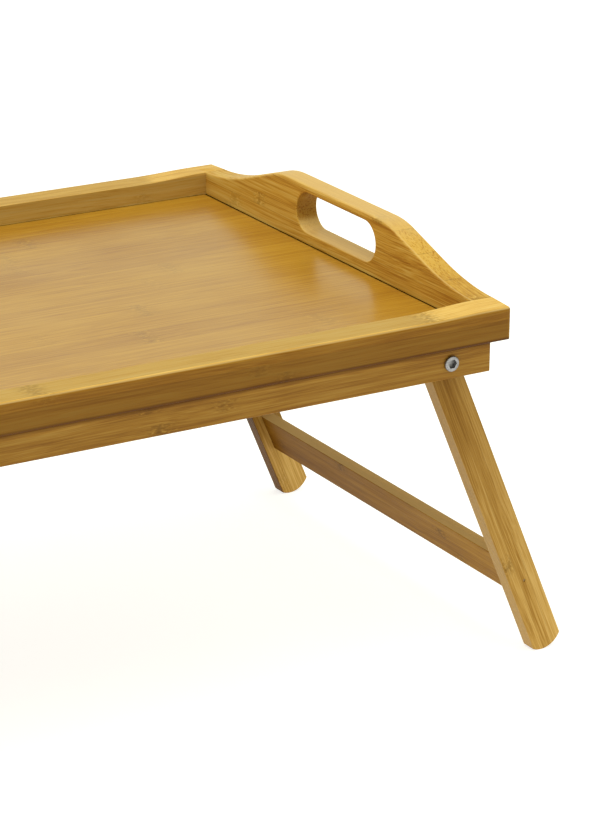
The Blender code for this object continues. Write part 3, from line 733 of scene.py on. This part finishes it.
def build_apron(side_name, side):
    low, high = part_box(side_name + "_apron")
    high.z = UNDERSIDE - SEAM
    apron = new_object(side_name + "_apron_bamboo", box_mesh(low, high))
    soften(apron, BAR_ARRIS, 4)
    through = [(low.y - OVERRUN, BARREL_RADIUS + SEAM), (high.y + OVERRUN, BARREL_RADIUS + SEAM)]
    for end in ENDS.values():
        pivot = pivot_place(end)
        cut(apron, turned_mesh(through, 48), Matrix.Translation((pivot.x, 0, pivot.z)))
    for screw in apron_screws_at(side_name):
        screw_low, screw_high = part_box(screw)
        centre = (screw_low + screw_high) / 2
        radius = APRON_SCREW_RADIUS + THREAD_DEPTH + SEAM
        cut(apron, hole_mesh((centre.x, centre.y), radius, low.z, high.z + OVERRUN))
        head = APRON_SCREW_HEAD_RADIUS + SEAM
        throat = screw_low.z + APRON_SCREW_HEAD_HEIGHT
        cone = ((low.z - OVERRUN, head), (screw_low.z, head), (throat, APRON_SCREW_RADIUS))
        rings = [[(x, y, z) for x, y in arc((centre.x, centre.y), r, *TURN_OF_32)] for z, r in cone]
        cut(apron, ring_mesh(rings))
    seed = 31 if side < 0 else 37
    height = (high.z - low.z) / MM
    # Painted shade: a dark band along the top of the face, in the shade of the rail above
    shade_under_rail = ("z", height - 4.6, height - 3.0, 0.0, 0.9)
    wood = bamboo(apron.name, seed, Matrix.Translation(low), "xyz", height / 3, tones=UMBER, shade_along=shade_under_rail)
    finish_piece(apron, "tray", "bamboo_frame", wood, side_name + "_apron")


# ---------------------------------------------------------------- the leg frames


def pivot_place(end):
    """Where an end's fold axis crosses the middle of the tray."""
    joint = next(j for j in frame["joints"] if j["pos_m"][0] * end > 0)
    return Vector(joint["pos_m"])


def frame_of(end_name, end):
    """A leg frame's own axes: the pivot at the origin, Y along the fold axis and the legs down -Z."""
    low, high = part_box(end_name + "_crossbar")
    pivot = pivot_place(end)
    reach = (low + high) / 2 - pivot
    splay = math.atan2(abs(reach.x), -reach.z)
    turn = Matrix.Rotation(0.0 if end > 0 else math.pi, 4, "Z")
    return Matrix.Translation(pivot) @ turn @ Matrix.Rotation(-splay, 4, "Y"), splay


def box_in(place, node):
    """A CAD node's lowest and highest corners in the axes of place."""
    into = place.inverted()
    points = [into @ vertex.co for vertex in frame["nodes"][node].data.vertices]
    low, high = (Vector([pick(p[k] for p in points) for k in range(3)]) for pick in (min, max))
    return low, high


def leg_outline(half_width, top, tip, splay):
    """(x, z) round a leg. The flat shoulder at the top is level when the leg is splayed."""
    shoulder = (half_width, (top - half_width * math.sin(splay)) / math.cos(splay))
    crown = arc((0, 0), top, math.pi / 2 - splay, math.pi - math.acos(half_width / top), 20)
    corner = math.acos(half_width / FOOT_RADIUS)
    foot = arc((0, tip + FOOT_RADIUS), FOOT_RADIUS, math.pi + corner, 2 * math.pi - corner, 28)
    return [shoulder, *crown, *foot]


def build_leg(end_name, end, side_name, seed):
    place, splay = frame_of(end_name, end)
    node = f"{end_name}_{side_name}_leg"
    low, high = box_in(place, node)
    bar_low, bar_high = box_in(place, end_name + "_crossbar")
    bar_z = (bar_low.z + bar_high.z) / 2
    rings = [[(x, y, z) for x, z in leg_outline(high.x, high.z, low.z, splay)] for y in (low.y, high.y)]
    leg = new_object(node + "_bamboo", ring_mesh(rings), place)
    soften(leg, LEG_ARRIS, 5)
    through = [(low.y - OVERRUN, BARREL_RADIUS + SEAM), (high.y + OVERRUN, BARREL_RADIUS + SEAM)]
    cut(leg, turned_mesh(through, 48))
    outwards = 1 if low.y > 0 else -1
    inner, outer = (low.y, high.y) if outwards > 0 else (high.y, low.y)
    near, far = sorted((inner - outwards * OVERRUN, inner + outwards * (TENON_LENGTH + SEAM)))
    half_thickness, half_height = TENON_THICKNESS / 2 + SEAM, TENON_HEIGHT / 2 + SEAM
    mortise = ((-half_thickness, near, bar_z - half_height), (half_thickness, far, bar_z + half_height))
    cut(leg, box_mesh(*mortise))
    near, far = sorted((outer + outwards * OVERRUN, outer - outwards * (high.y - low.y - TENON_LENGTH)))
    cut(leg, turned_mesh([(near, BRAD_RADIUS + SEAM), (far, BRAD_RADIUS + SEAM)], 32),
        Matrix.Translation((0, 0, bar_z)))
    edge = place @ Matrix.Translation((-high.x, 0, 0))
    # Painted shade: darker towards the top, under the tray. Front legs get painted light on their narrow
    # sides; back legs get stronger painted shade, and painted shade on the side that looks along -x
    ends, shaded, sides = ("z", low.z / MM, 0.0, 0.0, 0.8), None, 0.34
    if side_name == "back":
        ends, shaded, sides = ("z", low.z / MM + 40, -120.0, 0.0, 1.0), ("x", -1), 0.0
    wood = bamboo(leg.name, seed, edge, "zyx", 2 * high.x / MM / 3, tones=HONEY, coat=0.08,
                  shaded_side=shaded, shade_along=ends, sides=sides)
    finish_piece(leg, end_name + "_legs", "bamboo_leg", wood, node)


def build_crossbar(end_name, end, seed):
    place, _ = frame_of(end_name, end)
    node = end_name + "_crossbar"
    low, high = box_in(place, node)
    middle_z = (low.z + high.z) / 2
    leg_low, leg_high = box_in(place, end_name + "_front_leg")
    shoulder = min(abs(leg_low.y), abs(leg_high.y)) - SEAM
    bar = (high.x, (high.z - low.z) / 2)
    tenon = (TENON_THICKNESS / 2, TENON_HEIGHT / 2)
    rings = []
    for y, (x, z) in ((low.y, tenon), (-shoulder, tenon), (-shoulder, bar),
                      (shoulder, bar), (shoulder, tenon), (high.y, tenon)):
        rings.append([(-x, y, -z), (x, y, -z), (x, y, z), (-x, y, z)])
    crossbar = new_object(node + "_bamboo", ring_mesh(rings), place @ Matrix.Translation((0, 0, middle_z)))
    soften(crossbar, BAR_ARRIS, 4, lambda point, along: abs(along.y) > shoulder)
    edge = place @ Matrix.Translation((0, 0, low.z))
    # Painted shade: darker towards the back leg, under the tray. Painted light: the faces that look up are
    # paler
    ends = ("y", -end * shoulder / MM, end * shoulder / MM, 0.0, 0.9)
    layer = 2 * bar[1] / MM / 4
    wood = bamboo(crossbar.name, seed, edge, "yxz", layer, tones=RUSSET, coat=0.05, variety=0.2, shade_along=ends,
                  crown=(0.6, 150.0))
    finish_piece(crossbar, end_name + "_legs", "bamboo_leg", wood, node)


# ---------------------------------------------------------------- fittings


def outward_frame(node_low, node_high, x, z):
    """Axes for a turned fitting on a line along Y: +Y runs inwards from the outer face of the table."""
    outside = node_low.y if node_low.y + node_high.y < 0 else node_high.y
    turn = Matrix.Rotation(0.0 if outside < 0 else math.pi, 4, "Z")
    return Matrix.Translation((x, outside, z)) @ turn


def thread(start, end, radius):
    """(place, radius) pairs of a threaded shank."""
    count = int(abs(end - start) / THREAD_PITCH)
    for i in range(count):
        y = start + (end - start) * i / count
        yield y, radius
        yield y + (end - start) / count * 0.35, radius + THREAD_DEPTH
    yield end, radius


def build_pivot(end_name, end, side_name, finishes):
    """The barrel nut, its screw and the washer of one leg's pivot."""
    name = f"{end_name}_{side_name}_pivot"
    pivot = pivot_place(end)
    low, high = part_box(name + "_barrel")
    place = outward_frame(low, high, pivot.x, pivot.z)
    length = high.y - low.y
    bore = PIVOT_SCREW_RADIUS + THREAD_DEPTH + SEAM
    stations = [
        *rounded_corner(0.0, BARREL_HEAD_RADIUS, 0.55 * MM),
        (BARREL_HEAD_HEIGHT, BARREL_HEAD_RADIUS),
        (BARREL_HEAD_HEIGHT, BARREL_RADIUS),
        (length - 0.3 * MM, BARREL_RADIUS),
        (length, BARREL_RADIUS - 0.3 * MM),
        (length, bore),
        (length - PIVOT_SCREW_LENGTH, bore),
    ]
    barrel = new_object(name + "_barrel_steel", turned_mesh(stations, 96), place)
    socket = loft_mesh(hexagon(SOCKET_RADIUS), [(-OVERRUN, 1.0), (0.15 * MM, 1.0), (SOCKET_DEPTH, 0.98),
                                                (SOCKET_DEPTH + 0.35 * MM, 0.05)])
    cut(barrel, socket)
    finish_piece(barrel, "tray", "bright_steel", finishes["bright_steel"], name + "_barrel")

    low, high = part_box(name + "_screw")
    place = outward_frame(low, high, pivot.x, pivot.z)
    length = high.y - low.y
    head = length - PIVOT_SCREW_HEAD_HEIGHT
    bulge = PIVOT_SCREW_HEAD_HEIGHT * 0.75
    angles = [math.pi / 2 * i / 9 for i in range(9)]
    dome = [(length - bulge * (1 - math.sin(a)), PIVOT_SCREW_HEAD_RADIUS * math.cos(a)) for a in angles]
    stations = [*thread(0.0, head, PIVOT_SCREW_RADIUS), (head, PIVOT_SCREW_HEAD_RADIUS), *dome]
    screw = new_object(name + "_screw_steel", turned_mesh(stations, 72), place)
    recess = loft_mesh(cross(1.7 * MM, 0.42 * MM), [(length + OVERRUN, 1.15), (length - 0.1 * MM, 1.0),
                                                    (length - 1.1 * MM, 0.45)])
    cut(screw, recess)
    finish_piece(screw, "tray", "bright_steel", finishes["bright_steel"], name + "_screw")

    low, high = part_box(name + "_washer")
    place = outward_frame(low, high, pivot.x, pivot.z)
    thickness = high.y - low.y
    corner = list(rounded_corner(0.0, WASHER_RADIUS, 0.15 * MM, 3))
    stations = corner + [(thickness - y, radius) for y, radius in reversed(corner)]
    washer = new_object(name + "_washer_nylon", turned_mesh(stations, 72), place)
    hole = [(-OVERRUN, BARREL_RADIUS + SEAM), (thickness + OVERRUN, BARREL_RADIUS + SEAM)]
    cut(washer, turned_mesh(hole, 48))
    finish_piece(washer, "tray", "nylon", finishes["nylon"], name + "_washer")


def build_apron_screw(node, finish):
    """A countersunk screw that points up, with a cross recess in its head."""
    low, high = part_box(node)
    length = high.z - low.z
    point_length = 4 * MM
    stations = [
        (0.0, APRON_SCREW_HEAD_RADIUS - 0.1 * MM),
        (0.2 * MM, APRON_SCREW_HEAD_RADIUS),
        (APRON_SCREW_HEAD_HEIGHT, APRON_SCREW_RADIUS),
        *thread(length / 3, length - point_length, APRON_SCREW_RADIUS),
        (length, 0.2 * MM),
    ]
    foot = Vector(((low.x + high.x) / 2, (low.y + high.y) / 2, low.z))
    upright = Matrix.Translation(foot) @ Matrix.Rotation(math.pi / 2, 4, "X")
    screw = new_object(node + "_steel", turned_mesh(stations, 48), upright)
    cut(screw, loft_mesh(cross(1.5 * MM, 0.36 * MM), [(-OVERRUN, 1.1), (0.1 * MM, 1.0), (1.3 * MM, 0.4)]))
    finish_piece(screw, "tray", "zinc_steel", finish, node)


def build_brad(end_name, end, side_name, finish):
    """The brad that pins a tenon, under a little filler that is almost level with the leg."""
    place, _ = frame_of(end_name, end)
    node = f"{end_name}_{side_name}_brad"
    low, high = box_in(place, node)
    inwards = 1 if low.y < 0 else -1
    outer = low.y if inwards > 0 else high.y
    length = high.y - low.y
    stations = [(0.0, 0.6), (0.08 * MM, 0.9), (0.2 * MM, 1.0), (length - 1.0 * MM, 1.0), (length, 0.3)]
    circle = list(arc((0, 0), BRAD_RADIUS, *TURN_OF_32))
    middle_z = (low.z + high.z) / 2
    shape = loft_mesh(circle, [(inwards * y, scale) for y, scale in stations])
    brad = new_object(node + "_steel", shape, place @ Matrix.Translation((0, outer, middle_z)))
    finish_piece(brad, end_name + "_legs", "dark_steel", finish, node)


def build_dowel(node, finish):
    low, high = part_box(node)
    dowel = new_object(node + "_beech", dowel_mesh(node))
    finish_piece(dowel, "tray", "dowel_wood", finish, node)


# ---------------------------------------------------------------- studio


# Radiances, tints and reflectance of the studio
SURROUND = 0.82
SURROUND_TINT = (0.97, 1.0, 0.82)
FLOOR_WHITE = (0.6, 0.6, 0.6)
FLOOR_GLOW = 0.73
OVERHEAD = 2.7
LAMP_TINT = (0.97, 1.0, 0.8)


def build_camera():
    """A long lens from the front left, a little above the tray."""
    turn, pitch, roll = math.radians(31.196), math.radians(20.037), math.radians(0.572)
    ahead = Vector((math.sin(turn) * math.cos(pitch), math.cos(turn) * math.cos(pitch), -math.sin(pitch)))
    right = Vector((math.cos(turn), -math.sin(turn), 0.0))
    up = right.cross(ahead)
    rolled_right = right * math.cos(roll) + up * math.sin(roll)
    rolled_up = up * math.cos(roll) - right * math.sin(roll)
    camera = bpy.data.objects.new("camera", bpy.data.cameras.new("camera"))
    bpy.context.scene.collection.objects.link(camera)
    axes = Matrix((rolled_right, rolled_up, -ahead)).transposed()
    camera.matrix_world = Matrix.Translation((-0.5966, -1.3489, 0.6791)) @ axes.to_4x4()
    camera.data.lens = 137.94
    camera.data.sensor_width = 36.0
    bpy.context.scene.camera = camera


def add_softbox(name, location, target, width, height, radiance, tint):
    """A rectangular light that faces the target, as bright as radiance all over."""
    light = bpy.data.lights.new(name, "AREA")
    light.shape = "RECTANGLE"
    light.size = width
    light.size_y = height
    light.energy = radiance * math.pi * width * height
    light.color = tint
    made = bpy.data.objects.new(name, light)
    bpy.context.scene.collection.objects.link(made)
    made.location = location
    made.rotation_euler = (Vector(target) - Vector(location)).to_track_quat("-Z", "Y").to_euler()
    made.visible_camera = False


def build_studio():
    """A pale room: an even surround, a floor that gives its light back, and a wide light overhead."""
    scene = bpy.context.scene
    scene.view_settings.view_transform = "Standard"
    world = bpy.data.worlds.new("studio")
    world.use_nodes = True
    background = world.node_tree.nodes["Background"]
    background.inputs["Color"].default_value = (*SURROUND_TINT, 1.0)
    background.inputs["Strength"].default_value = SURROUND
    scene.world = world

    floor_mesh = bmesh.new()
    bmesh.ops.create_circle(floor_mesh, cap_ends=True, segments=96, radius=8.0)
    floor = new_object("floor", floor_mesh)
    made, g, shader = new_material("floor_paper")
    connect(g, shader, Base_Color=(*FLOOR_WHITE, 1.0), Roughness=0.9, Specular_IOR_Level=0.1,
            Emission_Color=(1.0, 1.0, 1.0, 1.0), Emission_Strength=FLOOR_GLOW)
    floor.data.materials.append(made)
    add_softbox("overhead", (-0.2, -0.3, 1.6), (0.0, 0.0, 0.15), 1.2, 1.2, OVERHEAD, LAMP_TINT)


# ---------------------------------------------------------------- all of it


def build():
    build_camera()
    build_studio()
    finishes = {
        "bright_steel": metal("bright_steel", (0.38, 0.37, 0.38), (0.20, 0.19, 0.20), 0.22),
        "zinc_steel": metal("zinc_steel", (0.58, 0.58, 0.56), (0.40, 0.41, 0.42), 0.34),
        "dark_steel": plain("dark_steel", (0.34, 0.20, 0.07), (0.20, 0.11, 0.04), 0.55, (2.0, 2.0, 2.0)),
        "nylon": plain("nylon", (0.75, 0.72, 0.66), (0.62, 0.59, 0.53), 0.42, subsurface=0.15),
        "dowel_wood": plain("dowel_wood", (0.62, 0.45, 0.25), (0.42, 0.27, 0.13), 0.5, (0.6, 0.08, 0.6)),
    }
    for side_name, side in SIDES.items():
        build_rail(side_name, side)
        build_apron(side_name, side)
        for dowel in dowels_at(side_name):
            build_dowel(dowel, finishes["dowel_wood"])
        for screw in apron_screws_at(side_name):
            build_apron_screw(screw, finishes["zinc_steel"])
    build_board()
    seed = 40
    for end_name, end in ENDS.items():
        build_handle_panel(end_name, end)
        build_crossbar(end_name, end, seed)
        for side_name in SIDES:
            seed += 3
            build_leg(end_name, end, side_name, seed)
            build_brad(end_name, end, side_name, finishes["dark_steel"])
            build_pivot(end_name, end, side_name, finishes)


build()
